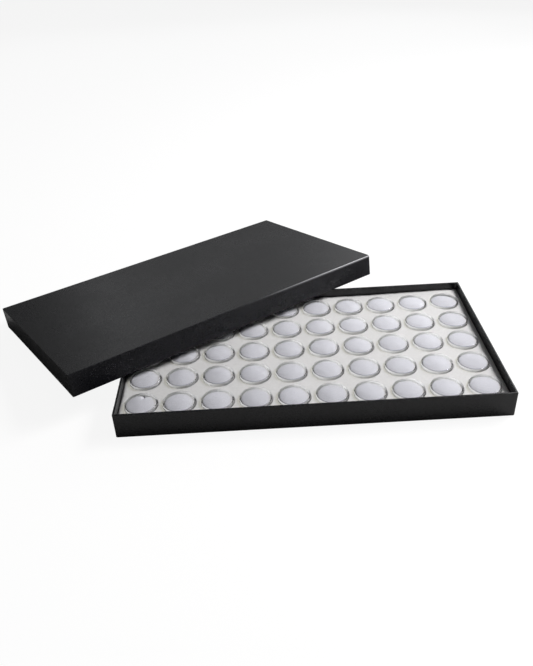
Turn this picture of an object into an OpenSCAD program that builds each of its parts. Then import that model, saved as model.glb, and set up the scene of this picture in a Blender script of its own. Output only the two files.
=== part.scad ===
// Shallow display tray with a telescoping lift-off lid, both paper-covered
// set-up boxes. A foam insert holds fifty clear snap-lid jars, each with a
// foam pad for one coin. The lid stands askew, propped on two tray walls.
// Frame: origin at the middle of the tray's underside, x along its length,
// y towards its far long wall, z up.

/* [Tray] */
// Outside length of the tray
tray_l = 375; // [340:1:420]
// Outside width of the tray
tray_w = 210; // [200:1:240]
// Outside height of the tray
tray_h = 27; // [26:0.5:32]
// Thickness of the chipboard
board_t = 1.7; // [1.2:0.1:2.2]
// Thickness of the covering and lining papers
paper_t = 0.25; // [0.15:0.05:0.4]
// Thickness of the paper tape that closes each corner
stay_t = 0.15; // [0.1:0.05:0.2]
// Length of each leg of a corner tape
stay_leg = 18; // [10:1:30]
// How far the covering is turned over each edge
turn_in = 12; // [8:1:14]
// Radius of the upright outside corners
corner_r = 1.2; // [0.8:0.1:2]

/* [Lid] */
// Outside height of the lid
lid_h = 24.5; // [22:0.5:28]
// Clearance between the closed lid and the tray on each side
lid_gap = 0.6; // [0.4:0.1:1.2]
// Turn of the askew lid about the upright
lid_yaw = 33.5; // [30:0.5:37]
// Middle of the lid along the tray's length
lid_x = -128.5; // [-135:0.5:-120]
// Middle of the lid across the tray's width
lid_y = 118.7; // [115:0.1:122]

/* [Insert] */
// Spacing of the columns
column_pitch = 36.5; // [35:0.1:36.6]
// Spacing of the rows
row_pitch = 39.2; // [34:0.1:39.4]
// How far the pattern of sockets lies nearer the near wall
pattern_shift = 3; // [0:0.5:4]
// Height of the foam's top face above the table
foam_top = 18; // [16:0.5:19]
// Thickness of the card under the foam
card_t = 0.8; // [0.5:0.1:1.2]
// Diameter of a socket
socket_d = 31.8; // [31.6:0.1:33]
// Clearance between the insert and the tray walls
insert_gap = 0.4; // [0.3:0.1:0.8]

/* [Jar] */
// Diameter of the jar's lid
cap_d = 31.2; // [30:0.1:31.2]
// Height of the jar's lid
cap_h = 5; // [4:0.5:6]
// How far a closed jar stands above the foam
jar_proud = 3.2; // [2.5:0.1:4]
// Wall thickness of the clear plastic
clear_t = 0.9; // [0.7:0.1:1]
// Radius of the rounded edges of the jar's lid and pad
edge_r = 1; // [0.6:0.1:1.2]
// Radial clearance between the cup's rim and the jar's lid
snap_gap = 0.3; // [0.3:0.05:0.5]
// How much narrower the cup's base is than its rim, in radius
cup_taper = 0.4; // [0:0.1:0.6]
// Radial clearance between a pad and its cup
pad_gap = 0.2; // [0.2:0.1:0.6]
// How far a pad stands above its cup's rim
pad_proud = 1.7; // [1.4:0.1:2]

/* [Hidden] */
$fn = 48;

// The pattern of sockets, as the node names count it
columns = 10;
rows = 5;

// Vertical clearance between pieces that rest on one another and lift apart
rest_gap = 0.2;
// A cut runs this far past the face it opens
over = 1;

wall_t = board_t + 2 * paper_t;
// The base paper and the turned-under covering lie below the tray's board
board_z = 2 * paper_t;
floor_z = board_z + board_t + paper_t;

card_z = floor_z + rest_gap;
foam_z = card_z + card_t;
foam_l = tray_l - 2 * (wall_t + insert_gap);
foam_w = tray_w - 2 * (wall_t + insert_gap);

jar_z = foam_z + rest_gap;
jar_top = foam_top + jar_proud;
cap_z = jar_top - cap_h;
pad_top = jar_top - clear_t - rest_gap;
cup_top = pad_top - pad_proud;
cup_r = cap_d / 2 - clear_t - snap_gap;
pad_z = jar_z + clear_t + rest_gap;
pad_r = cup_r - cup_taper - clear_t - pad_gap;
// A pad swells out over its cup's rim
swell_z = cup_top + rest_gap;
swell_r = cup_r - pad_gap;

lid_l = tray_l + 2 * (lid_gap + wall_t);
lid_w = tray_w + 2 * (lid_gap + wall_t);
lid_ceiling = lid_h - paper_t - board_t;
// The far long edge stands on the table, the near one lies on the tray's walls
lid_tilt = asin(tray_h / (lid_w - wall_t));
lid_z = rest_gap + lid_w / 2 * sin(lid_tilt);

function column_x(i) = (i - (columns + 1) / 2) * column_pitch;
function row_y(j) = (j - (rows + 1) / 2) * row_pitch - pattern_shift;

// ---------- shared shapes ----------

module rounded_rect(l, w, r) {
    square([l - 2 * r, w], center = true);
    square([l, w - 2 * r], center = true);
    for (x = [-1, 1])
        for (y = [-1, 1])
            translate([x * (l / 2 - r), y * (w / 2 - r)])
                circle(r);
}

// A rounded slab from z0 to z1, set in from the l x w outline by inset
module slab(l, w, inset, z0, z1) {
    translate([0, 0, z0])
        linear_extrude(z1 - z0)
            rounded_rect(l - 2 * inset, w - 2 * inset, max(corner_r - inset, 0.1));
}

// An upright wall round the l x w outline, between two insets
module band(l, w, outer, inner, z0, z1) {
    difference() {
        slab(l, w, outer, z0, z1);
        slab(l, w, inner, z0 - over, z1 + over);
    }
}

// The paper tapes over the four upright corners, let into the board's face
module stays(l, w, z0, z1) {
    intersection() {
        band(l, w, paper_t, paper_t + stay_t, z0, z1);
        union()
            for (x = [-1, 1])
                for (y = [-1, 1])
                    translate([x * (l - stay_leg) / 2, y * (w - stay_leg) / 2, (z0 + z1) / 2])
                        cube([stay_leg, stay_leg, z1 - z0], center = true);
    }
}

module in_socket(i, j) {
    translate([column_x(i), row_y(j), 0])
        children();
}

module in_row(j) {
    for (i = [1:columns])
        in_socket(i, j)
            children();
}

module askew() {
    translate([lid_x, lid_y, lid_z])
        rotate([-lid_tilt, 0, lid_yaw])
            children();
}

// ---------- tray ----------

module tray_board() {
    color("tan")
        difference() {
            slab(tray_l, tray_w, paper_t, board_z, tray_h - paper_t);
            slab(tray_l, tray_w, paper_t + board_t, board_z + board_t, tray_h + over);
            stays(tray_l, tray_w, floor_z, tray_h - 2 * paper_t);
        }
}

module tray_corner_stays() {
    color("wheat")
        stays(tray_l, tray_w, floor_z, tray_h - 2 * paper_t);
}

module tray_wrap() {
    color("#1d1d1f")
        union() {
            band(tray_l, tray_w, 0, paper_t, paper_t, tray_h);
            band(tray_l, tray_w, 0, wall_t, tray_h - paper_t, tray_h);
            band(tray_l, tray_w, paper_t + board_t, wall_t, tray_h - turn_in, tray_h);
            band(tray_l, tray_w, 0, turn_in, paper_t, board_z);
        }
}

module tray_base_paper() {
    color("#161616")
        union() {
            slab(tray_l, tray_w, 2 * paper_t, 0, paper_t);
            slab(tray_l, tray_w, turn_in, 0, board_z);
        }
}

module tray_liner() {
    color("#202022")
        union() {
            slab(tray_l, tray_w, paper_t + board_t, board_z + board_t, floor_z);
            band(tray_l, tray_w, paper_t + board_t, wall_t, board_z + board_t, tray_h - turn_in);
        }
}

// ---------- insert ----------

module foam_insert() {
    color("#f1f0ea")
        difference() {
            slab(foam_l, foam_w, 0, foam_z, foam_top);
            for (j = [1:rows])
                in_row(j)
                    translate([0, 0, foam_z - over])
                        cylinder(h = foam_top - foam_z + 2 * over, d = socket_d);
        }
}

module insert_card() {
    color("#e4e2da")
        slab(foam_l, foam_w, 0, card_z, foam_z);
}

// ---------- jars ----------

module jar_cup() {
    color("#dfe6ee", 0.35)
        translate([0, 0, jar_z])
            rotate_extrude()
                polygon([
                    [0, 0],
                    [cup_r - cup_taper, 0],
                    [cup_r, cup_top - jar_z],
                    [cup_r - clear_t, cup_top - jar_z],
                    [cup_r - cup_taper - clear_t, clear_t],
                    [0, clear_t],
                ]);
}

// Half the outline of a disc with its top edge rounded
module rounded_disc_profile(r, h) {
    square([r - edge_r, h]);
    square([r, h - edge_r]);
    translate([r - edge_r, h - edge_r])
        intersection() {
            circle(edge_r);
            square(edge_r);
        }
}

module jar_lid() {
    color("#e6ecf3", 0.35)
        translate([0, 0, cap_z])
            rotate_extrude()
                difference() {
                    rounded_disc_profile(cap_d / 2, cap_h);
                    translate([-over, -over])
                        square([cap_d / 2 - clear_t + over, cap_h - clear_t + over]);
                }
}

module jar_pad() {
    color("#cfcfdc")
        rotate_extrude() {
            translate([0, pad_z])
                square([pad_r, swell_z - pad_z + edge_r / 2]);
            translate([0, swell_z])
                rounded_disc_profile(swell_r, pad_top - swell_z);
        }
}

// ---------- lid ----------

module lid_board() {
    color("tan")
        askew()
            difference() {
                slab(lid_l, lid_w, paper_t, paper_t, lid_h - paper_t);
                slab(lid_l, lid_w, paper_t + board_t, -over, lid_ceiling);
                stays(lid_l, lid_w, 2 * paper_t, lid_ceiling);
            }
}

module lid_corner_stays() {
    color("wheat")
        askew()
            stays(lid_l, lid_w, 2 * paper_t, lid_ceiling);
}

module lid_wrap() {
    color("#2b2b2d")
        askew()
            union() {
                band(lid_l, lid_w, 0, paper_t, 0, lid_h);
                slab(lid_l, lid_w, 0, lid_h - paper_t, lid_h);
                band(lid_l, lid_w, 0, wall_t, 0, paper_t);
                band(lid_l, lid_w, paper_t + board_t, wall_t, 0, turn_in);
            }
}

module lid_liner() {
    color("#202022")
        askew()
            union() {
                band(lid_l, lid_w, paper_t + board_t, wall_t, turn_in, lid_ceiling);
                slab(lid_l, lid_w, paper_t + board_t, lid_ceiling - paper_t, lid_ceiling);
            }
}

// ---------- assembly ----------

tray_board();
tray_corner_stays();
tray_wrap();
tray_base_paper();
tray_liner();
foam_insert();
insert_card();

in_socket(1, 1) jar_cup();  // jar_cup_01
in_socket(2, 1) jar_cup();  // jar_cup_02
in_socket(3, 1) jar_cup();  // jar_cup_03
in_socket(4, 1) jar_cup();  // jar_cup_04
in_socket(5, 1) jar_cup();  // jar_cup_05
in_socket(6, 1) jar_cup();  // jar_cup_06
in_socket(7, 1) jar_cup();  // jar_cup_07
in_socket(8, 1) jar_cup();  // jar_cup_08
in_socket(9, 1) jar_cup();  // jar_cup_09
in_socket(10, 1) jar_cup();  // jar_cup_10
in_socket(1, 1) jar_pad();  // jar_pad_01
in_socket(2, 1) jar_pad();  // jar_pad_02
in_socket(3, 1) jar_pad();  // jar_pad_03
in_socket(4, 1) jar_pad();  // jar_pad_04
in_socket(5, 1) jar_pad();  // jar_pad_05
in_socket(6, 1) jar_pad();  // jar_pad_06
in_socket(7, 1) jar_pad();  // jar_pad_07
in_socket(8, 1) jar_pad();  // jar_pad_08
in_socket(9, 1) jar_pad();  // jar_pad_09
in_socket(10, 1) jar_pad();  // jar_pad_10
in_socket(1, 1) jar_lid();  // jar_lid_01
in_socket(2, 1) jar_lid();  // jar_lid_02
in_socket(3, 1) jar_lid();  // jar_lid_03
in_socket(4, 1) jar_lid();  // jar_lid_04
in_socket(5, 1) jar_lid();  // jar_lid_05
in_socket(6, 1) jar_lid();  // jar_lid_06
in_socket(7, 1) jar_lid();  // jar_lid_07
in_socket(8, 1) jar_lid();  // jar_lid_08
in_socket(9, 1) jar_lid();  // jar_lid_09
in_socket(10, 1) jar_lid();  // jar_lid_10
in_row(2) jar_cup();  // jar_cups_row_2
in_row(3) jar_cup();  // jar_cups_row_3
in_row(4) jar_cup();  // jar_cups_row_4
in_row(5) jar_cup();  // jar_cups_row_5
in_row(2) jar_pad();  // jar_pads_row_2
in_row(3) jar_pad();  // jar_pads_row_3
in_row(4) jar_pad();  // jar_pads_row_4
in_row(5) jar_pad();  // jar_pads_row_5
in_row(2) jar_lid();  // jar_lids_row_2
in_row(3) jar_lid();  // jar_lids_row_3
in_row(4) jar_lid();  // jar_lids_row_4
in_row(5) jar_lid();  // jar_lids_row_5
lid_board();
lid_corner_stays();
lid_wrap();
lid_liner();
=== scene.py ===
import math
import random
from collections import namedtuple

import bmesh
import bpy
import numpy as np
from mathutils import Matrix, Vector, noise


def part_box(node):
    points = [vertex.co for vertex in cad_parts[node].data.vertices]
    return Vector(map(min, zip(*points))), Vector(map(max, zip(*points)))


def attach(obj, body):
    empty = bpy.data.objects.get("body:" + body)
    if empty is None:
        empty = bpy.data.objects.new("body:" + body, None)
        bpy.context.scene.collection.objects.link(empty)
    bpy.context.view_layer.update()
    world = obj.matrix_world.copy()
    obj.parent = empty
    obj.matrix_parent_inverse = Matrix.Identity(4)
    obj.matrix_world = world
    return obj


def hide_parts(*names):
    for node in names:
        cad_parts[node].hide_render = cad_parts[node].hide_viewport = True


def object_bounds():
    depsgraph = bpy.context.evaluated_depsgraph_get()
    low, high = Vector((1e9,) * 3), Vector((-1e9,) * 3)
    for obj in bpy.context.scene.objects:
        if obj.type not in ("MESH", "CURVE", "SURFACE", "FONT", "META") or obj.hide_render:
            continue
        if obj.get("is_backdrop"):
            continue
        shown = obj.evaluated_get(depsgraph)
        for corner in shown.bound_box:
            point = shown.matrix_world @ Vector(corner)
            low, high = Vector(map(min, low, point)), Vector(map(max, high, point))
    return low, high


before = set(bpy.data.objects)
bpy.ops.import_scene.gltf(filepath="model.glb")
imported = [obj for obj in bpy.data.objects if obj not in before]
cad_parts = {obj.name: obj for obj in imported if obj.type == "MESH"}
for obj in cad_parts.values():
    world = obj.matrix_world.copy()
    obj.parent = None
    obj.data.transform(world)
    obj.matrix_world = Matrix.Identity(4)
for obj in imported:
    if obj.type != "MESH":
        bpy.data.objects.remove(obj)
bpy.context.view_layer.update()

# A coin display tray: a covered box with its lid lying askew, a foam insert and fifty clear jars.
# The CAD gives every piece its place and size. This script gives the outer ones their looks.

MM = 0.001

# ---------- sizes, in metres like the frame ----------

COLUMNS = range(1, 11)
BACK_ROWS = range(2, 6)

SKIN_T = 0.25 * MM  # the covering paper
WALL_T = 2.2 * MM  # a covered wall
TURN_IN = 12 * MM  # how far the covering turns over an edge
EDGE_R = 0.5 * MM  # how tightly it turns over the board
CORNER_R = 1.2 * MM  # the upright corners
HOLD = 0.12 * MM  # how near a rounded edge its flat neighbours start
TOP_BAND = 3 * MM  # the outer part of the lid's top, swept with the walls
PAPER_BUMPS = 0.05 * MM  # how far the glued paper is from flat
FLAP_T = 0.10 * MM  # how far a hidden flap lifts the paper over it
FLAP_END = 15 * MM  # how far the long sides' flaps run round on to the ends
LOOSE_BUMPS = 0.09 * MM  # the same as PAPER_BUMPS, for the sheet inside the walls
FOLD_T = 0.12 * MM  # how far the sheet inside stands out where it is folded in a corner

SOCKET_R = 15.9 * MM  # the holes in the foam slab
SOCKET_LIP = 0.9 * MM  # how softly their edges are rounded
SOCKET_STATIONS = (0, 6 * MM, 11 * MM)  # heights of the rings of points up their walls
SLAB_WAVES, SLAB_DIMPLES = 0.25 * MM, 0.12 * MM  # how far the slab's top is from flat
SLAB_RISE = 1.5 * MM  # how far it stands proud in its far right corner
SLAB_DROP = 0.8 * MM  # how far it is rounded off along its sides

CLEAR_T = 0.9 * MM  # a wall of the clear plastic

PAD_BASE_R = 12.85 * MM  # the part of a pad that is inside its cup
PAD_SHOULDER = 0.3 * MM  # the rounded edge of its top
PAD_STATIONS = (1.0, 0.995, 0.985, 0.97, 0.95, 0.92, 0.88, 0.83, 0.77, 0.7, 0.6, 0.5, 0.4, 0.3, 0.2, 0.1)
PAD_WAVES = 0.25 * MM  # how far its top is from even
PAD_LEAN = 0.25 * MM  # how far its top leans to one side
PAD_SINK = 0.15 * MM  # how far its middle has settled
PAD_PINCH = 0.01  # how far its outline is from round, as a share
PAD_CROWN = 0.8 * MM  # how much rounder than its mesh a pad is shaded
NOTCHED_PAD = 101  # pads are numbered 100 x row + column

# ---------- how finely the meshes are cut ----------

FLAT_STEP = 3 * MM
WALL_STEP = 2 * MM
INNER_STEP = 1.5 * MM
TOP_STEP = 0.8 * MM
RIM_STEP = 0.5 * MM
ARC_POINTS = 5
CORNER_STEPS = 6
HALF_SIDE_STEPS = 12  # along half a side of a socket's own rectangle
AROUND = 64

# ---------- what the frame says ----------


def middle(node):
    """The middle of a CAD node's box."""
    low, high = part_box(node)
    return (low + high) / 2


def column_name(i):
    return f"{i:02d}"


column_x = {i: middle(f"jar_cup_{column_name(i)}").x for i in COLUMNS}
row_y = {1: middle("jar_cup_01").y}
row_y.update({j: middle(f"jar_cups_row_{j}").y for j in BACK_ROWS})


def askew_lid():
    """Where the lid lies: a matrix with its open rim at z 0, and its length, width and height.

    Its directions come from the top and the largest wall of its covering.
    """
    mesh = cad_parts["lid_wrap"].data
    up, across, largest = Vector(), Vector(), 0.0
    for p in mesh.polygons:
        if p.normal.z > 0.9:
            up += p.normal * p.area
    up.normalize()
    for p in mesh.polygons:
        if abs(p.normal.dot(up)) < 0.05 and p.area > largest:
            largest, across = p.area, p.normal.copy()
    if across.y < 0:
        across.negate()
    along = across.cross(up).normalized()
    across = up.cross(along)
    turn = Matrix((along, across, up)).transposed()
    local = np.array([turn.transposed() @ v.co for v in mesh.vertices])
    low, high = local.min(0), local.max(0)
    base = turn @ Vector(((low[0] + high[0]) / 2, (low[1] + high[1]) / 2, low[2]))
    return Matrix.Translation(base) @ turn.to_4x4(), *(high - low)


# ---------- camera ----------


def aim_camera(place, pitch, yaw, roll, lens):
    """A camera that looks along +y, turned down by pitch, right by yaw and counter-clockwise by roll."""
    cam = bpy.data.cameras.new("camera")
    cam.sensor_width = 36.0
    cam.lens = lens
    cam.clip_start, cam.clip_end = 0.01, 50
    level = math.cos(pitch)
    ahead = Vector((math.sin(yaw) * level, math.cos(yaw) * level, -math.sin(pitch)))
    right = Vector((math.cos(yaw), -math.sin(yaw), 0))
    up = right.cross(ahead)
    x = math.cos(roll) * right + math.sin(roll) * up
    y = -math.sin(roll) * right + math.cos(roll) * up
    eye = bpy.data.objects.new("camera", cam)
    eye.matrix_world = Matrix.Translation(place) @ Matrix((x, y, -ahead)).transposed().to_4x4()
    bpy.context.scene.collection.objects.link(eye)
    bpy.context.scene.camera = eye


# fitted to the photograph
aim_camera(
    place=Vector((-0.0456, -0.5965, 0.4321)),
    pitch=math.radians(33.37),
    yaw=math.radians(0.45),
    roll=math.radians(-2.90),
    lens=37.2865,
)

# ---------- node trees ----------


class Tree:
    """A node tree, emptied, with short calls for the nodes used here."""

    def __init__(self, tree):
        self.tree = tree
        tree.nodes.clear()

    def add(self, kind, **attributes):
        made = self.tree.nodes.new(kind)
        for key, value in attributes.items():
            setattr(made, key, value)
        return made

    def link(self, a, b):
        self.tree.links.new(a, b)

    def put(self, socket, value):
        """Links a socket, or sets a number, a vector or a colour."""
        if isinstance(value, bpy.types.NodeSocket):
            self.link(value, socket)
        elif isinstance(value, tuple) and len(value) == 3 and socket.type == "RGBA":
            socket.default_value = (*value, 1)
        else:
            socket.default_value = value

    def node(self, kind, **sockets):
        """A node of one output, with its sockets set by name."""
        made = self.add(kind)
        for key, value in sockets.items():
            self.put(made.inputs[key], value)
        return made.outputs[0]

    def joined(self, kind, *sources):
        """A node that joins its sources, such as a mix of a share and two shaders."""
        made = self.add(kind)
        for source, socket in zip(sources, made.inputs):
            self.link(source, socket)
        return made.outputs[0]

    def rays(self):
        """What kind of ray meets the surface, as sockets by name."""
        return self.add("ShaderNodeLightPath").outputs


class Nodes(Tree):
    """A material's node tree, with one Principled shader. Its patterns lie in the object's own space."""

    def __init__(self, name, **values):
        self.material = bpy.data.materials.new(name)
        self.material.use_nodes = True
        super().__init__(self.material.node_tree)
        self.out = self.add("ShaderNodeOutputMaterial")
        self.shader = self.add("ShaderNodeBsdfPrincipled")
        self.link(self.shader.outputs[0], self.out.inputs["Surface"])
        self.place = self.add("ShaderNodeTexCoord").outputs["Object"]
        self.finish(**values)

    def stretched(self, scale, turn=(0, 0, 0)):
        """The object's space, turned and scaled along its axes."""
        m = self.add("ShaderNodeMapping")
        self.link(self.place, m.inputs["Vector"])
        m.inputs["Scale"].default_value = scale
        m.inputs["Rotation"].default_value = turn
        return m.outputs[0]

    def noise(self, scale, detail, rough, at=None, warp=0.0):
        """Cloudy noise from 0 to 1, with about scale clouds a metre."""
        n = self.add("ShaderNodeTexNoise")
        self.link(at or self.place, n.inputs["Vector"])
        n.inputs["Scale"].default_value = scale
        n.inputs["Detail"].default_value = detail
        n.inputs["Roughness"].default_value = rough
        n.inputs["Distortion"].default_value = warp
        return n.outputs["Fac"]

    def cells(self, scale, feature="F1", at=None, smoothness=None):
        """Distance from the middle of the nearest cell, with about scale cells a metre."""
        n = self.add("ShaderNodeTexVoronoi", feature=feature)
        self.link(at or self.place, n.inputs["Vector"])
        n.inputs["Scale"].default_value = scale
        if smoothness is not None:
            n.inputs["Smoothness"].default_value = smoothness
        return n.outputs["Distance"]

    def spread(self, value, low, high, to_low=0.0, to_high=1.0):
        """Eases from to_low to to_high while value goes from low to high."""
        n = self.add("ShaderNodeMapRange", clamp=True, interpolation_type="SMOOTHSTEP")
        names = ("Value", "From Min", "From Max", "To Min", "To Max")
        for key, v in zip(names, (value, low, high, to_low, to_high)):
            self.put(n.inputs[key], v)
        return n.outputs[0]

    def maths(self, operation, a, b):
        """Two values, put together by a math node's operation."""
        n = self.add("ShaderNodeMath", operation=operation)
        self.put(n.inputs[0], a)
        self.put(n.inputs[1], b)
        return n.outputs[0]

    def plus(self, a, b):
        return self.maths("ADD", a, b)

    def times(self, a, b):
        return self.maths("MULTIPLY", a, b)

    def mix(self, share, a, b):
        """Two colours, mixed by share. Sockets 6, 7 and output 2 are the node's colour ones."""
        n = self.add("ShaderNodeMix", data_type="RGBA")
        self.put(n.inputs[0], share)
        self.put(n.inputs[6], a)
        self.put(n.inputs[7], b)
        return n.outputs[2]

    def attribute(self, name):
        return self.add("ShaderNodeAttribute", attribute_name=name).outputs["Fac"]

    def bump(self, height, depth, strength=1.0, under=None):
        """A normal bent by height, over the one under it."""
        n = self.add("ShaderNodeBump")
        self.put(n.inputs["Height"], height)
        n.inputs["Distance"].default_value = depth
        n.inputs["Strength"].default_value = strength
        if under is not None:
            self.link(under, n.inputs["Normal"])
        return n.outputs[0]

    def finish(self, **sockets):
        """Sets or links the shader's sockets by name, with _ for a space."""
        for key, value in sockets.items():
            self.put(self.shader.inputs[key.replace("_", " ")], value)
        return self.material


# ---------- materials ----------


def scaled(colour, by):
    """A colour made lighter or darker."""
    return tuple(c * by for c in colour)


def leatherette(name, base, rough, gloss):
    """Black embossed covering paper: short streaky pebbles, a soft sheen, worn edges and a painted
    highlight.

    The attribute wear greys an edge in patches. A second attribute paints a white highlight along the lid's
    near top edge, strongest at its right end, where the lamps catch it.
    """
    m = Nodes(name, IOR=1.5, Specular_IOR_Level=gloss)
    streak = m.noise(520, 3, 0.6, at=m.stretched((1.0, 2.6, 2.6)), warp=0.6)
    pebble = m.cells(620, "SMOOTH_F1", at=m.stretched((1.0, 1.7, 1.7)), smoothness=0.6)
    fine = m.noise(3200, 2, 0.6)
    broad = m.noise(14, 3, 0.55)
    patches = m.spread(m.noise(260, 4, 0.7), 0.48, 0.62)

    tone = m.mix(m.spread(streak, 0.35, 0.7), base, scaled(base, 2.2))
    tone = m.mix(m.spread(broad, 0.35, 0.7, 0.0, 0.35), tone, scaled(base, 1.6))
    worn = m.times(m.times(m.attribute("wear"), patches), 0.4)
    tone = m.mix(worn, tone, (0.09, 0.09, 0.095))
    # painted highlight: a broken white line along the lid's near top edge
    highlight_share = m.times(m.attribute("painted_highlight"), m.spread(fine, 0.2, 0.6, 0.6, 1.0))
    tone = m.mix(highlight_share, tone, (0.9, 0.9, 0.94))

    streaky = m.spread(streak, 0.3, 0.75, rough - 0.06, rough + 0.09)
    shine = m.plus(streaky, m.spread(broad, 0.3, 0.7, -0.03, 0.03))
    relief = m.bump(m.plus(m.times(pebble, 0.7), m.times(streak, 0.5)), 0.16 * MM, 0.55)
    relief = m.bump(fine, 0.04 * MM, 0.5, relief)
    return m.finish(Base_Color=tone, Roughness=shine, Normal=relief)


def paper(name, base, rough):
    """Uncoated paper or card: fine fibres and a slight cloudiness."""
    m = Nodes(name, Specular_IOR_Level=0.3)
    fibres = m.noise(900, 4, 0.7, at=m.stretched((1, 3.5, 3.5)), warp=1.2)
    cloud = m.noise(60, 3, 0.6)
    tone = m.mix(m.spread(fibres, 0.4, 0.65), base, scaled(base, 1.25))
    tone = m.mix(m.spread(cloud, 0.35, 0.7, 0, 0.5), tone, scaled(base, 0.85))
    shine = m.spread(fibres, 0.3, 0.7, rough - 0.08, rough + 0.08)
    return m.finish(Base_Color=tone, Roughness=shine, Normal=m.bump(fibres, 0.05 * MM, 0.5))


def chipboard(name):
    """Grey-brown board made of recycled fibre, with dark and light flecks."""
    m = Nodes(name, Specular_IOR_Level=0.25)
    flecks = m.cells(900)
    fibres = m.noise(1400, 4, 0.7, at=m.stretched((1, 2.5, 1)), warp=1.0)
    tone = m.mix(m.spread(fibres, 0.35, 0.7), (0.30, 0.24, 0.17), (0.42, 0.35, 0.26))
    tone = m.mix(m.spread(flecks, 0.0, 0.12, 0.6, 0.0), tone, (0.16, 0.13, 0.10))
    shine = m.spread(fibres, 0.3, 0.7, 0.82, 0.95)
    return m.finish(Base_Color=tone, Roughness=shine, Normal=m.bump(fibres, 0.08 * MM, 0.6))


def foam(name, light, dark, pore_scale, pore_depth, is_pad=False, **values):
    """Fine open-cell foam: pores, a slight cloudiness and a dry surface.

    A pad also has its own tone, and is shaded rounder than it is.
    """
    m = Nodes(name, Specular_IOR_Level=0.2, **values)
    pores = m.cells(pore_scale, at=m.stretched((1, 1.1, 0.9)))
    fine = m.noise(pore_scale * 2.3, 3, 0.7)
    cloud = m.noise(45, 3, 0.6)
    grain = m.noise(430, 2, 0.6)
    tone = m.mix(m.spread(pores, 0.05, 0.45), dark, light)
    tone = m.mix(m.spread(cloud, 0.35, 0.7, 0.0, 0.4), tone, scaled(light, 0.95))
    tone = m.mix(m.spread(grain, 0.38, 0.62, 0.0, 0.7), tone, scaled(light, 0.92))
    crown = None
    if is_pad:
        tone = m.mix(m.times(m.attribute("tone"), 0.55), tone, scaled(light, 0.86))
        crown = m.bump(m.attribute("crown"), PAD_CROWN)
    relief = m.bump(pores, pore_depth, 0.6, crown)
    relief = m.bump(fine, pore_depth * 0.5, 0.5, relief)
    return m.finish(Base_Color=tone, Roughness=m.spread(fine, 0.3, 0.7, 0.85, 1.0), Normal=relief)


def clear_plastic(name):
    """Clear moulded polystyrene: a faint blue cast and hairline scratches.

    The attribute edge marks the rounded rim, which bends light away: its colour is darkened there, a painted
    dark ring, and lamps passing it are dimmed, so that it casts a darker shadow. The attribute skirt marks
    the skirt, which is slightly cloudy and partly translucent; its greater whiteness away from the lamps is
    painted light, for the light that the plastic pipes round to its shaded side. Lamps shine through the
    piece, as they do through the thin real walls.
    """
    m = Nodes(name, IOR=1.1, Coat_Weight=0.5, Coat_IOR=1.45, Coat_Roughness=0.12)
    rim, skirt = m.attribute("edge"), m.attribute("skirt")
    hair = m.noise(700, 3, 0.7, at=m.stretched((1, 9, 1), (0, 0, 0.6)))
    haze = m.noise(90, 2, 0.5)
    rough = m.plus(m.spread(hair, 0.60, 0.72, 0.0, 0.05), m.spread(haze, 0.4, 0.7, 0.015, 0.04))
    # painted shade: the rim's colour darkens toward a grey-blue, a dark ring for the light the rim bends
    # away
    tint_and_rim_shade = m.mix(m.spread(rim, 0.1, 0.9, 0.0, 0.85), (0.97, 0.975, 0.99), (0.29, 0.29, 0.37))
    clear = m.spread(skirt, 0.0, 0.6, 1.0, 0.2)
    relief = m.bump(haze, 0.05 * MM, 0.25)
    m.finish(Base_Color=tint_and_rim_shade, Roughness=rough, Transmission_Weight=clear, Normal=relief)

    # partly painted light: the skirt turns cloudy and translucent, most where it is marked most, away from
    # the lamps
    milk_and_painted_glow = m.spread(skirt, 0.0, 0.6, 0.0, 0.62)
    piped = m.node("ShaderNodeBsdfTranslucent", Color=(0.95, 0.955, 0.94))
    body = m.joined("ShaderNodeMixShader", milk_and_painted_glow, m.shader.outputs[0], piped)
    shade = m.mix(skirt, (0.97, 0.97, 0.98), (0.76, 0.76, 0.66))
    through = m.node("ShaderNodeBsdfTransparent", Color=m.mix(rim, shade, (0.40, 0.37, 0.28)))
    rays = m.rays()
    lamplight = m.maths("MAXIMUM", rays["Is Shadow Ray"], rays["Is Diffuse Ray"])
    either = m.joined("ShaderNodeMixShader", lamplight, body, through)
    m.link(either, m.out.inputs["Surface"])
    return m.material


TRAY_SKIN = leatherette("tray_leatherette", (0.006, 0.006, 0.0072), rough=0.31, gloss=0.5)
LID_SKIN = leatherette("lid_leatherette", (0.006, 0.006, 0.0065), rough=0.31, gloss=0.5)
# painted shade: a duller, bluer copy of the lid's leatherette for its walls, so that they look darker than
# its top
LID_WALL_SHADED_SKIN = leatherette("lid_wall_shaded_leatherette", (0.006, 0.006, 0.0078), rough=0.31, gloss=0.25)
LINING = paper("black_lining_paper", (0.014, 0.014, 0.015), rough=0.75)
CARD = paper("white_card", (0.72, 0.71, 0.68), rough=0.8)
TAPE = paper("corner_tape", (0.45, 0.36, 0.24), rough=0.7)
BOARD = chipboard("chipboard")
FOAM = foam(
    "insert_foam",
    light=(0.86, 0.855, 0.86),
    dark=(0.72, 0.715, 0.71),
    pore_scale=1500,
    pore_depth=0.12 * MM,
)
PAD = foam(
    "pad_foam",
    light=(0.88, 0.88, 0.92),
    dark=(0.74, 0.74, 0.80),
    pore_scale=1300,
    pore_depth=0.10 * MM,
    is_pad=True,
    Sheen_Weight=0.15,
    Sheen_Roughness=0.4,
)
CLEAR = clear_plastic("clear_plastic")

# ---------- mesh helpers ----------


def smooth(t):
    """Eases from 0 to 1 while t goes from 0 to 1."""
    t = min(1.0, max(0.0, t))
    return t * t * (3 - 2 * t)


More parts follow.
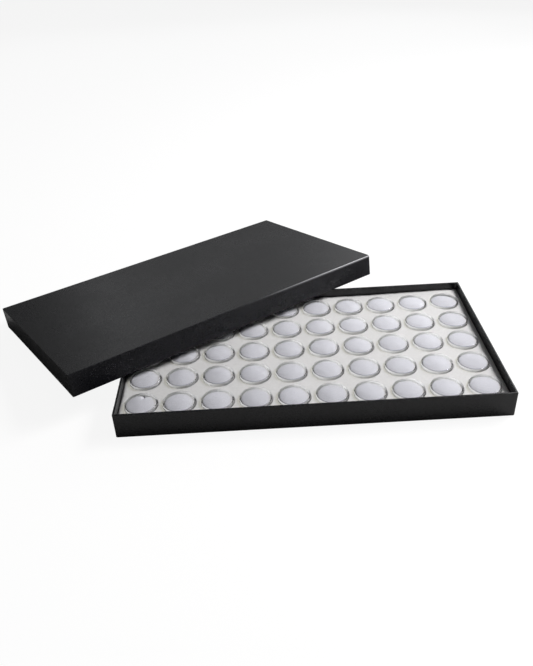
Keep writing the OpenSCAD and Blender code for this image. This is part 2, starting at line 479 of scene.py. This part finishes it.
def make_piece(name, verts, faces, material, body, node, slot, weld, place=None, marks=None):
    """A shaded mesh, set in place, on its body and standing for its CAD node.

    Points nearer together than weld are joined. Marks are attributes, with a value for each point.
    """
    mesh = bpy.data.meshes.new(name)
    mesh.from_pydata([tuple(v) for v in verts], [], faces)
    for key, values in (marks or {}).items():
        mesh.attributes.new(key, "FLOAT", "POINT").data.foreach_set("value", values)
    bm = bmesh.new()
    bm.from_mesh(mesh)
    bmesh.ops.remove_doubles(bm, verts=bm.verts, dist=weld)
    bmesh.ops.recalc_face_normals(bm, faces=bm.faces)
    bm.to_mesh(mesh)
    bm.free()
    for p in mesh.polygons:
        p.use_smooth = True
    mesh.materials.append(material)
    piece = bpy.data.objects.new(name, mesh)
    bpy.context.scene.collection.objects.link(piece)
    if place is not None:
        piece.matrix_world = place
    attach(piece, body)
    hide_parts(node)
    return piece


def arc(cx, cz, r, start, end, points):
    """Points on a circle round (cx, cz), from one angle to the other, in degrees."""
    angles = [math.radians(a) for a in np.linspace(start, end, points)]
    return [(cx + r * math.cos(a), cz + r * math.sin(a)) for a in angles]


def run(a, b, step):
    """Points from a to b, a itself left out, no further apart than step."""
    n = max(1, math.ceil(math.dist(a, b) / step))
    return [(a[0] + (b[0] - a[0]) * k / n, a[1] + (b[1] - a[1]) * k / n) for k in range(1, n + 1)]


def held(a, b, step):
    """As run, with a point more near each end, so that a rounded edge next to it stays crisp."""
    d = math.dist(a, b)
    p, q = ((a[0] + (b[0] - a[0]) * t, a[1] + (b[1] - a[1]) * t) for t in (HOLD / d, 1 - HOLD / d))
    return [p] + run(p, q, step) + [b]


def outline(length, width, inset):
    """A rounded rectangle as [(x, y)], with the same number of points whatever its inset."""
    r = max(CORNER_R - inset, 0.0)
    hx, hy = length / 2 - inset - r, width / 2 - inset - r
    nx, ny = math.ceil(length / FLAT_STEP), math.ceil(width / FLAT_STEP)
    signs = ((1, -1), (1, 1), (-1, 1), (-1, -1))
    side_ends = ((hx + r, hy), (-hx, hy + r), (-hx - r, -hy), (hx, -hy - r))
    points = []
    for k, ((sx, sy), (x1, y1), n) in enumerate(zip(signs, side_ends, (ny, nx, ny, nx))):
        for c in range(CORNER_STEPS + 1):
            a = math.radians(-90 + 90 * k + 90 * c / CORNER_STEPS)
            points.append((sx * hx + r * math.cos(a), sy * hy + r * math.sin(a)))
        x0, y0 = points[-1]
        points += [(x0 + (x1 - x0) * t / n, y0 + (y1 - y0) * t / n) for t in range(1, n)]
    return points


def ring_faces(first, rings, around):
    """Quads between closed rings of points, which follow one another from the point first on."""
    faces = []
    for k in range(rings - 1):
        a, b = first + k * around, first + (k + 1) * around
        faces += [(a + i, a + (i + 1) % around, b + (i + 1) % around, b + i) for i in range(around)]
    return faces


def grid_faces(first, nx, ny):
    """Quads of a grid of points, row after row from the point first on."""
    row = nx + 1
    corners = [first + j * row + i for j in range(ny) for i in range(nx)]
    return [(c, c + 1, c + row + 1, c + row) for c in corners]


def ruffle(piece, move):
    """Moves each point along its normal by move(point)."""
    mesh = piece.data
    normals = [v.normal.copy() for v in mesh.vertices]
    for v, n in zip(mesh.vertices, normals):
        v.co += n * move(v.co)
    mesh.update()


# ---------- the covered halves of the box ----------

Half = namedtuple("Half", "length width height is_lid")


def tray_profile(height):
    """The tray's covering as [(inset, z)]: under the base, up the wall, over the rim and down inside."""
    r = EDGE_R
    p = [(TURN_IN, SKIN_T)] + held((TURN_IN, SKIN_T), (r, SKIN_T), FLAT_STEP)
    p += arc(r, SKIN_T + r, r, 270, 180, ARC_POINTS)[1:]
    p += held((0, SKIN_T + r), (0, height - r), WALL_STEP)
    p += arc(r, height - r, r, 180, 90, ARC_POINTS)[1:]
    p += held((r, height), (WALL_T - r, height), RIM_STEP)
    p += arc(WALL_T - r, height - r, r, 90, 0, ARC_POINTS)[1:]
    return p + held((WALL_T, height - r), (WALL_T, height - TURN_IN), INNER_STEP)


def lid_profile(height):
    """The lid's covering as [(inset, z)]: down inside, under the rim, up the wall and on to the top."""
    r = EDGE_R
    p = [(WALL_T, TURN_IN)] + held((WALL_T, TURN_IN), (WALL_T, r), INNER_STEP)
    p += arc(WALL_T - r, r, r, 360, 270, ARC_POINTS)[1:]
    p += held((WALL_T - r, 0), (r, 0), RIM_STEP)
    p += arc(r, r, r, 270, 180, ARC_POINTS)[1:]
    p += held((0, r), (0, height - r), WALL_STEP)
    p += arc(r, height - r, r, 180, 90, ARC_POINTS)[1:]
    return p + held((r, height), (TOP_BAND, height), TOP_STEP)


def covering_mesh(half):
    """The half's profile swept round its outline, and a grid over the lid's top."""
    profile = lid_profile(half.height) if half.is_lid else tray_profile(half.height)
    rings = [[(x, y, z) for x, y in outline(half.length, half.width, d)] for d, z in profile]
    verts = [v for ring in rings for v in ring]
    faces = ring_faces(0, len(rings), len(rings[0]))
    if half.is_lid:
        nx, ny = math.ceil(half.length / FLAT_STEP), math.ceil(half.width / FLAT_STEP)
        hx, hy = half.length / 2 - TOP_BAND, half.width / 2 - TOP_BAND
        faces += grid_faces(len(verts), nx, ny)
        for j in range(ny + 1):
            y = hy * (2 * j / ny - 1)
            verts += [(hx * (2 * i / nx - 1), y, half.height) for i in range(nx + 1)]
    return verts, faces


def from_sides(half, x, y):
    """How far a point is from the nearer end and from the nearer long side."""
    return half.length / 2 - abs(x), half.width / 2 - abs(y)


def wear_at(half, x, y, z):
    """How far the covering is scuffed, from 0 to 1: along its edges and up its corners."""
    dx, dy = from_sides(half, x, y)
    d = min(dx, dy)
    rim = 0.0 if half.is_lid else WALL_T
    along_top = max(0.0, 1 - (abs(half.height - z) + max(0.0, d - rim)) / (1.2 * MM))
    along_low = max(0.0, 1 - (abs(z) + max(0.0, d)) / (1.4 * MM))
    upright = max(0.0, 1 - (dx + dy) / (1.4 * MM))
    return max(along_top, along_low * (0.3 if half.is_lid else 1.0), upright)


def painted_highlight_at(half, x, y, z):
    """How strong the painted highlight along the lid's near top edge is, from 0 to 1: more and more to the
    right.
    """
    down, inwards = half.height - z, y + half.width / 2
    if not half.is_lid or inwards >= 0.4 * MM or down >= 0.7 * MM:
        return 0.0
    fade = 0.5 if down > 0.55 * MM else 1.0
    return smooth((x + 0.02) / 0.2) ** 1.5 * fade


def unevenness(half, p):
    """How far out the covering stands at a point: less near an edge, where it is pulled tight."""
    dx, dy = from_sides(half, p.x, p.y)
    d = min(dx, dy)
    from_edge = (min(half.height - p.z, p.z) - 1 * MM) / (4 * MM)
    from_side = (d - 2 * MM) / (8 * MM)
    slack = smooth(from_edge if d < 3 * MM else from_side)
    out = slack * PAPER_BUMPS * noise.noise(p * 45)
    if dx < 0.3 * MM:  # on an end, over the long sides' flaps
        out += FLAP_T * smooth((FLAP_END - dy) / (0.8 * MM))
    if abs(d - WALL_T) < 0.05 * MM:  # inside, where the paper is glued by hand
        folded = smooth((6 * MM - max(dx, dy)) / (1.0 * MM))
        out += LOOSE_BUMPS * noise.noise(p * 140) + FOLD_T * folded
    return out


def paint_lid_wall_shade(piece, half):
    """Gives the lid's walls a duller, bluer copy of the top's material: painted shade, so that the walls
    look darker than the top.
    """
    top_slot, wall_slot = 0, 1
    piece.data.materials.append(LID_WALL_SHADED_SKIN)
    for p in piece.data.polygons:
        on_top = p.center.z > half.height - 0.1 * MM and abs(p.center.y) < half.width / 2 - 1.0 * MM
        p.material_index = top_slot if on_top else wall_slot


def covering(name, body, node, half, material, place=None):
    """The embossed paper glued round a half of the box. It turns in over the open edge."""
    verts, faces = covering_mesh(half)
    # the second mark is a painted highlight along the lid's near top edge
    marks = {"wear": [wear_at(half, *v) for v in verts], "painted_highlight": [painted_highlight_at(half, *v) for v in verts]}
    piece = make_piece(
        name, verts, faces, material, body, node, "black_leatherette", 0.004 * MM, place, marks
    )
    if half.is_lid:
        paint_lid_wall_shade(piece, half)
    ruffle(piece, lambda p: unevenness(half, p))
    paper_t = piece.modifiers.new("thickness", "SOLIDIFY")
    paper_t.thickness = SKIN_T * 0.9
    paper_t.offset = -1  # inwards
    paper_t.use_even_offset = True


low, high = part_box("tray_wrap")
tray = Half(high.x - low.x, high.y - low.y, high.z, is_lid=False)
covering("tray_covering", "tray", "tray_wrap", tray, TRAY_SKIN)
lid_place, *lid_size = askew_lid()
covering("lid_covering", "lid", "lid_wrap", Half(*lid_size, is_lid=True), LID_SKIN, lid_place)

# ---------- foam insert ----------

foam_low, foam_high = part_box("foam_insert")


def swell(x, y):
    """Height of the slab's top above its CAD plane: uneven, proud in one corner, low along the sides."""
    waves = SLAB_WAVES * noise.noise(Vector((x, y, 0)) * 28)
    dimples = SLAB_DIMPLES * noise.noise(Vector((x, y, 0.3)) * 110)
    corner = smooth((x - 60 * MM) / (110 * MM)) * smooth((y - 20 * MM) / (75 * MM))
    edge = min(foam_high.x - abs(x), foam_high.y - abs(y))
    return waves + dimples + SLAB_RISE * corner - SLAB_DROP * (1 - smooth(edge / (2.2 * MM)))


def cell_rim(cx, cy, left, right, near, far):
    """Points round a socket's own rectangle, from the middle of its right side."""
    corners = [
        (right, cy), (right, far), (cx, far), (left, far),
        (left, cy), (left, near), (cx, near), (right, near),
    ]
    n = HALF_SIDE_STEPS
    rim = []
    for (ax, ay), (bx, by) in zip(corners, corners[1:] + corners[:1]):
        rim += [(ax + (bx - ax) * k / n, ay + (by - ay) * k / n) for k in range(n)]
    return rim


def cell_rings(cx, cy, rim):
    """Rings of a cell: up the socket's wall, over its lip, across the top to the rim and down below it."""
    floor_z, top_z, lip = foam_low.z, foam_high.z, SOCKET_LIP
    directions = [Vector((x - cx, y - cy)).normalized() for x, y in rim]
    profile = [(SOCKET_R, floor_z + up) for up in SOCKET_STATIONS]
    profile += arc(SOCKET_R + lip, top_z - lip, lip, 180, 90, ARC_POINTS)
    rings = []
    for r, z in profile:
        ring = [(cx + d.x * r, cy + d.y * r) for d in directions]
        soft = z > top_z - 2 * lip
        rings.append([(x, y, z + (swell(x, y) if soft else 0.0)) for x, y in ring])
    for share in (0.3, 0.65, 1.0):
        ring = []
        for (x, y), d in zip(rim, directions):
            inner = Vector((cx, cy)) + d * (SOCKET_R + lip)
            px, py = inner.x + (x - inner.x) * share, inner.y + (y - inner.y) * share
            ring.append((px, py, top_z + swell(px, py)))
        rings.append(ring)
    return rings + [[(x, y, floor_z) for x, y in rim]]


def is_outer(x, y):
    """Whether a point lies on one of the slab's four sides."""
    gaps = (x - foam_low.x, x - foam_high.x, y - foam_low.y, y - foam_high.y)
    return min(abs(gap) for gap in gaps) < 1e-7


def foam_slab():
    """The die-cut slab, one cell for each jar: soft-edged sockets, a pillowed top and rounded sides."""
    xs, ys = [column_x[i] for i in COLUMNS], [row_y[j] for j in sorted(row_y)]
    half_x, half_y = (xs[1] - xs[0]) / 2, (ys[1] - ys[0]) / 2
    verts, faces = [], []
    for cy in ys:
        near = foam_low.y if cy == ys[0] else cy - half_y
        far = foam_high.y if cy == ys[-1] else cy + half_y
        for cx in xs:
            left = foam_low.x if cx == xs[0] else cx - half_x
            right = foam_high.x if cx == xs[-1] else cx + half_x
            rim = cell_rim(cx, cy, left, right, near, far)
            rings = cell_rings(cx, cy, rim)
            n, first = len(rim), len(verts)
            verts += [v for ring in rings for v in ring]
            top, under = first + (len(rings) - 2) * n, first + (len(rings) - 1) * n
            faces += ring_faces(first, len(rings) - 1, n)
            for i in range(n):
                j = (i + 1) % n
                faces.append((first + i, under + i, under + j, first + j))
                if is_outer(*rim[i]) and is_outer(*rim[j]):
                    faces.append((top + i, top + j, under + j, under + i))
    return verts, faces


slab = make_piece(
    "insert_foam", *foam_slab(), FOAM, "insert", "foam_insert", "white_foam", weld=0.002 * MM
)

# ---------- jars ----------


def turned(profile):
    """Points and faces of an outline [(r, z)], turned about z. Its first and last points are on the axis."""
    turns = [2 * math.pi * i / AROUND for i in range(AROUND)]
    verts = [(0, 0, profile[0][1])]
    for r, z in profile[1:-1]:
        verts += [(r * math.cos(a), r * math.sin(a), z) for a in turns]
    verts.append((0, 0, profile[-1][1]))
    end = len(verts) - 1
    last = end - AROUND
    faces = [(0, 1 + (i + 1) % AROUND, 1 + i) for i in range(AROUND)]
    faces += ring_faces(1, len(profile) - 2, AROUND)
    faces += [(last + i, last + (i + 1) % AROUND, end) for i in range(AROUND)]
    return verts, faces


def cup_profile():
    """A clear cup: its stepped foot, its tapered wall with a bead under the rim, and its inside."""
    low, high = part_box("jar_cup_01")
    z0, z1, t = low.z, high.z, CLEAR_T
    top_r = (high.x - low.x) / 2
    base_r = top_r - 0.4 * MM
    foot, heel, lip, inner = 0.25 * MM, 0.7 * MM, 0.3 * MM, 0.9 * MM
    bead_z, bead_r, bead_h = z1 - 1.4 * MM, 0.18 * MM, 0.5 * MM

    def wall(z):
        return base_r + (top_r - base_r) * (z - z0) / (z1 - z0)

    p = [(0, z0 + foot), (base_r - 3 * MM, z0 + foot), (base_r - 2.2 * MM, z0)]
    p += arc(base_r - heel, z0 + heel, heel, 270, 360, ARC_POINTS)
    p += [
        (wall(bead_z - bead_h), bead_z - bead_h),
        (wall(bead_z) + bead_r, bead_z),
        (wall(bead_z + bead_h), bead_z + bead_h),
    ]
    p += arc(top_r - lip, z1 - lip, lip, 0, 90, 3)
    p += arc(top_r - t + lip, z1 - lip, lip, 90, 180, 3)
    p += arc(base_r - t - inner, z0 + t + inner, inner, 0, -90, ARC_POINTS)
    return p + [(0, z0 + t)]


def cap_profile():
    """A clear lid: its inside, its skirt with soft lower edges, and its top, sunk a little in the rim."""
    low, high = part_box("jar_lid_01")
    r, z0, z1, t = (high.x - low.x) / 2, low.z, high.z, CLEAR_T
    lip, inner, rim_r, sunk = 0.25 * MM, 0.3 * MM, 0.6 * MM, 0.04 * MM
    p = [(0, z1 - t), (r - t - 2 * inner, z1 - t)]
    p += arc(r - t - inner, z1 - t - inner, inner, 90, 0, 4)
    p += arc(r - t + lip, z0 + lip, lip, 180, 270, 3)
    p += arc(r - lip, z0 + lip, lip, 270, 360, 3)
    p += [(r, z1 - down) for down in (3.2 * MM, 1.2 * MM, 0.8 * MM)]
    p += arc(r - rim_r, z1 - rim_r, rim_r, 0, 90, 6)
    return p + [(r - 0.95 * MM, z1), (r - 1.4 * MM, z1 - sunk), (0, z1 - sunk)]


def clear_shape(profile, strength, milk_and_painted_glow):
    """A turned piece with its top rim marked by strength and the skirt below it by milky.

    On the right, toward the lamps, the rim is marked most and the skirt least. The rim's mark is a painted
    dark ring, and the skirt's is partly painted light, both set by where the lamps stand.
    """
    verts, faces = turned(profile)
    r1, z1 = max(r for r, z in profile), max(z for r, z in profile)
    edge, skirt = [], []
    for x, y, z in verts:
        angle = math.atan2(y, x)
        out = smooth((math.hypot(x, y) - r1 + 0.8 * MM) / (0.3 * MM))
        top = smooth((z - z1 + 0.6 * MM) / (0.3 * MM))
        # painted shade: the rim's dark ring is strongest toward the lamps, on the right
        lamp_side_shade = 0.8 + 0.2 * math.cos(angle + math.radians(25))
        from_right = abs((math.degrees(angle) + 20 + 180) % 360 - 180)
        edge.append(strength * out * top * lamp_side_shade)
        # partly painted light: the skirt is marked least on the lamps' side
        skirt.append(milk_and_painted_glow * out * (1 - top) * (0.25 + 0.75 * smooth((from_right - 20) / 60)))
    return verts, faces, {"edge": edge, "skirt": skirt}


pad_low, pad_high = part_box("jar_pad_01")
cup_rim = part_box("jar_cup_01")[1].z
pad_r = (pad_high.x - pad_low.x) / 2 + 0.1 * MM


def pad_profile(dome, power):
    """A pad: straight in its cup, swollen out over the cup's rim, and domed on top."""
    z0, z1, r = pad_low.z, pad_high.z, PAD_BASE_R
    edge = z1 - dome - PAD_SHOULDER
    foot = 0.6 * MM
    p = [(0, z0), (r * 0.5, z0), (r - foot, z0), (r, z0 + foot)]
    p += [(r, z0 + foot + (cup_rim - 2 * foot - z0) * k / 4) for k in range(1, 4)]
    p += [
        (r, cup_rim - 0.3 * MM),
        (r + 0.25 * MM, cup_rim + 0.05 * MM),
        (pad_r - 0.35 * MM, cup_rim + 0.1 * MM),
        (pad_r - 0.05 * MM, edge - 0.12 * MM),
    ]
    for u in PAD_STATIONS:
        rounded = PAD_SHOULDER * (1 - math.sqrt(1 - min(u, 0.9999)**14))
        p.append((pad_r * u, z1 - dome * u**power - rounded))
    return p + [(0, z1)]


def pad(number):
    """One soft disc pressed into its cup, a little uneven. Its number seeds it."""
    draw = random.Random(1000 + number)
    dome, power = draw.uniform(0.9, 1.05) * MM, draw.uniform(1.9, 2.2)
    lean = draw.uniform(0, 2 * math.pi)
    offset = Vector((draw.uniform(-50, 50), draw.uniform(-50, 50), 0))
    verts, faces = turned(pad_profile(dome, power))
    out, crown = [], []
    for x, y, z in verts:
        p = Vector((x, y, z))
        theta, share = math.atan2(y, x), math.hypot(x, y) / pad_r
        free = smooth((z - cup_rim) / (0.4 * MM))  # 0 in the cup, 1 above it
        ripple = noise.noise(Vector((math.cos(theta), math.sin(theta), 0)) * 1.3 + offset)
        squeeze = 1 - PAD_PINCH * (1 + ripple) * free
        waves = PAD_WAVES * noise.noise(p * 120 + offset)
        rise = free * (waves + PAD_LEAN * share * math.cos(theta - lean))
        rise -= PAD_SINK * free * (1 - share)
        if number == NOTCHED_PAD:  # pinched and flattened at its far side
            dent = math.exp(-(((theta - math.radians(84)) / 0.15) ** 2))
            flat = math.exp(-(((theta - math.radians(88)) / 0.55) ** 2))
            pinched = 0.24 * dent * smooth((share - 0.55) / 0.4)
            flattened = 0.07 * flat * smooth((share - 0.3) / 0.6)
            squeeze -= free * (pinched + flattened)
            rise -= 0.9 * MM * free * dent * smooth((share - 0.5) / 0.4)
        out.append((x * squeeze, y * squeeze, min(z + rise, pad_high.z - 0.02 * MM)))
        crown.append(max(0.0, 1 - share**2))
    return out, faces, {"tone": [draw.random()] * len(out), "crown": crown}


cup_shape = clear_shape(cup_profile(), 0.4, 0.1)
cap_shape = clear_shape(cap_profile(), 1.0, 0.9)


def cup(number):
    """Every cup is the same."""
    return cup_shape


def cap(number):
    """Every jar's lid is the same."""
    return cap_shape


def jar_set(name, body, node, slot, material, places, build):
    """What build gives for each number, at its place, as one object, as the CAD node is."""
    verts, faces, marks = [], [], {}
    for number, (x, y) in places:
        shape, shape_faces, shape_marks = build(number)
        first = len(verts)
        verts += [(a + x, b + y, c) for a, b, c in shape]
        faces += [tuple(first + k for k in f) for f in shape_faces]
        for key, values in shape_marks.items():
            marks.setdefault(key, []).extend(values)
    return make_piece(name, verts, faces, material, body, node, slot, weld=1e-7, marks=marks)


for i in COLUMNS:
    n, at = column_name(i), [(100 + i, (column_x[i], row_y[1]))]
    jar_set(f"cup_1_{n}", f"jar_{n}", f"jar_cup_{n}", "clear_plastic", CLEAR, at, cup)
    jar_set(f"cap_1_{n}", f"cap_{n}", f"jar_lid_{n}", "clear_plastic", CLEAR, at, cap)
    jar_set(f"pad_1_{n}", f"jar_{n}", f"jar_pad_{n}", "pad_foam", PAD, at, pad)
for j in BACK_ROWS:
    at = [(100 * j + i, (column_x[i], row_y[j])) for i in COLUMNS]
    jar_set(f"cups_row_{j}", "insert", f"jar_cups_row_{j}", "clear_plastic", CLEAR, at, cup)
    jar_set(f"caps_row_{j}", "insert", f"jar_lids_row_{j}", "clear_plastic", CLEAR, at, cap)
    jar_set(f"pads_row_{j}", "insert", f"jar_pads_row_{j}", "pad_foam", PAD, at, pad)

# ---------- CAD pieces that stay ----------

for node, material in {
    "tray_board": BOARD,
    "lid_board": BOARD,
    "tray_corner_stays": TAPE,
    "lid_corner_stays": TAPE,
    "tray_base_paper": LINING,
    "tray_liner": LINING,
    "lid_liner": LINING,
    "insert_card": CARD,
}.items():
    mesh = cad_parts[node].data
    mesh.materials.clear()
    mesh.materials.append(material)

# ---------- floor, lamps and world ----------

FLOOR_HALF = 8.0
BACKDROP_GLOW = 0.9
WARM, COOL, COLD = (1.0, 0.99, 0.98), (0.98, 0.985, 1.0), (0.97, 0.98, 1.0)
WHITE = (1, 1, 1)


def make_floor():
    """A floor that glows white to the camera, with soft shadows, and is plain grey to everything else."""
    s = FLOOR_HALF
    mesh = bpy.data.meshes.new("floor")
    mesh.from_pydata([(-s, -s, 0), (s, -s, 0), (s, s, 0), (-s, s, 0)], [], [(0, 1, 2, 3)])
    floor = bpy.data.objects.new("floor", mesh)
    bpy.context.scene.collection.objects.link(floor)
    m = Nodes("pale_floor", Base_Color=(0.6, 0.6, 0.6), Roughness=0.9, Specular_IOR_Level=0.0)
    glow = m.node("ShaderNodeEmission", Color=WHITE, Strength=BACKDROP_GLOW)
    shaded = m.node("ShaderNodeBsdfDiffuse", Color=(0.16, 0.16, 0.16))
    seen = m.joined("ShaderNodeAddShader", glow, shaded)
    plain = m.shader.outputs[0]
    either = m.joined("ShaderNodeMixShader", m.rays()["Is Camera Ray"], plain, seen)
    m.link(either, m.out.inputs["Surface"])
    mesh.materials.append(m.material)
    floor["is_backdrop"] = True


def lamp(name, place, at, size, power, colour=WHITE):
    """A rectangular lamp that faces the point at."""
    data = bpy.data.lights.new(name, "AREA")
    data.shape = "RECTANGLE"
    data.size, data.size_y = size
    data.energy = power
    data.color = colour
    made = bpy.data.objects.new(name, data)
    made.location = place
    made.rotation_mode = "QUATERNION"
    made.rotation_quaternion = (Vector(at) - Vector(place)).to_track_quat("-Z", "Y")
    bpy.context.scene.collection.objects.link(made)


def make_world():
    """A faint sky, which the camera sees as the backdrop's white."""
    world = bpy.data.worlds.new("world")
    bpy.context.scene.world = world
    world.use_nodes = True
    sky = Tree(world.node_tree)
    ambient = sky.node("ShaderNodeBackground", Color=(0.96, 0.97, 1.0), Strength=0.008)
    backdrop = sky.node("ShaderNodeBackground", Color=WHITE, Strength=BACKDROP_GLOW)
    either = sky.joined("ShaderNodeMixShader", sky.rays()["Is Camera Ray"], ambient, backdrop)
    sky.link(either, sky.add("ShaderNodeOutputWorld").inputs["Surface"])


make_floor()
lamp("key", (0.95, 0.08, 0.95), (0, 0, 0), (0.4, 0.4), 5.6, WARM)
lamp("key_back", (0.86, 0.42, 0.95), (0, 0, 0), (0.4, 0.4), 10.5, WARM)
lamp("low_back_right", (1.3, 0.9, 0.45), (0, 0, 0), (0.8, 0.6), 8.3, COOL)
lamp("wide_back_right", (1.0, 1.7, 0.8), (0, 0, 0), (2.0, 1.2), 3.4, COLD)
lamp("wide_back", (-0.1, 1.9, 0.8), (0, 0, 0), (1.6, 1.0), 2.2, COLD)
lamp("wide_back_left", (-1.1, 1.5, 0.75), (0, 0, 0), (1.2, 1.0), 0.45, COLD)
lamp("low_right_front", (0.95, -0.4, 0.22), (0.2, -0.15, 0), (0.3, 0.2), 1.2)
lamp("top", (0, 0, 1.6), (0, 0, 0), (1.0, 1.0), 1.5)
make_world()
bpy.context.scene.view_settings.view_transform = "Standard"

low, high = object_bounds()
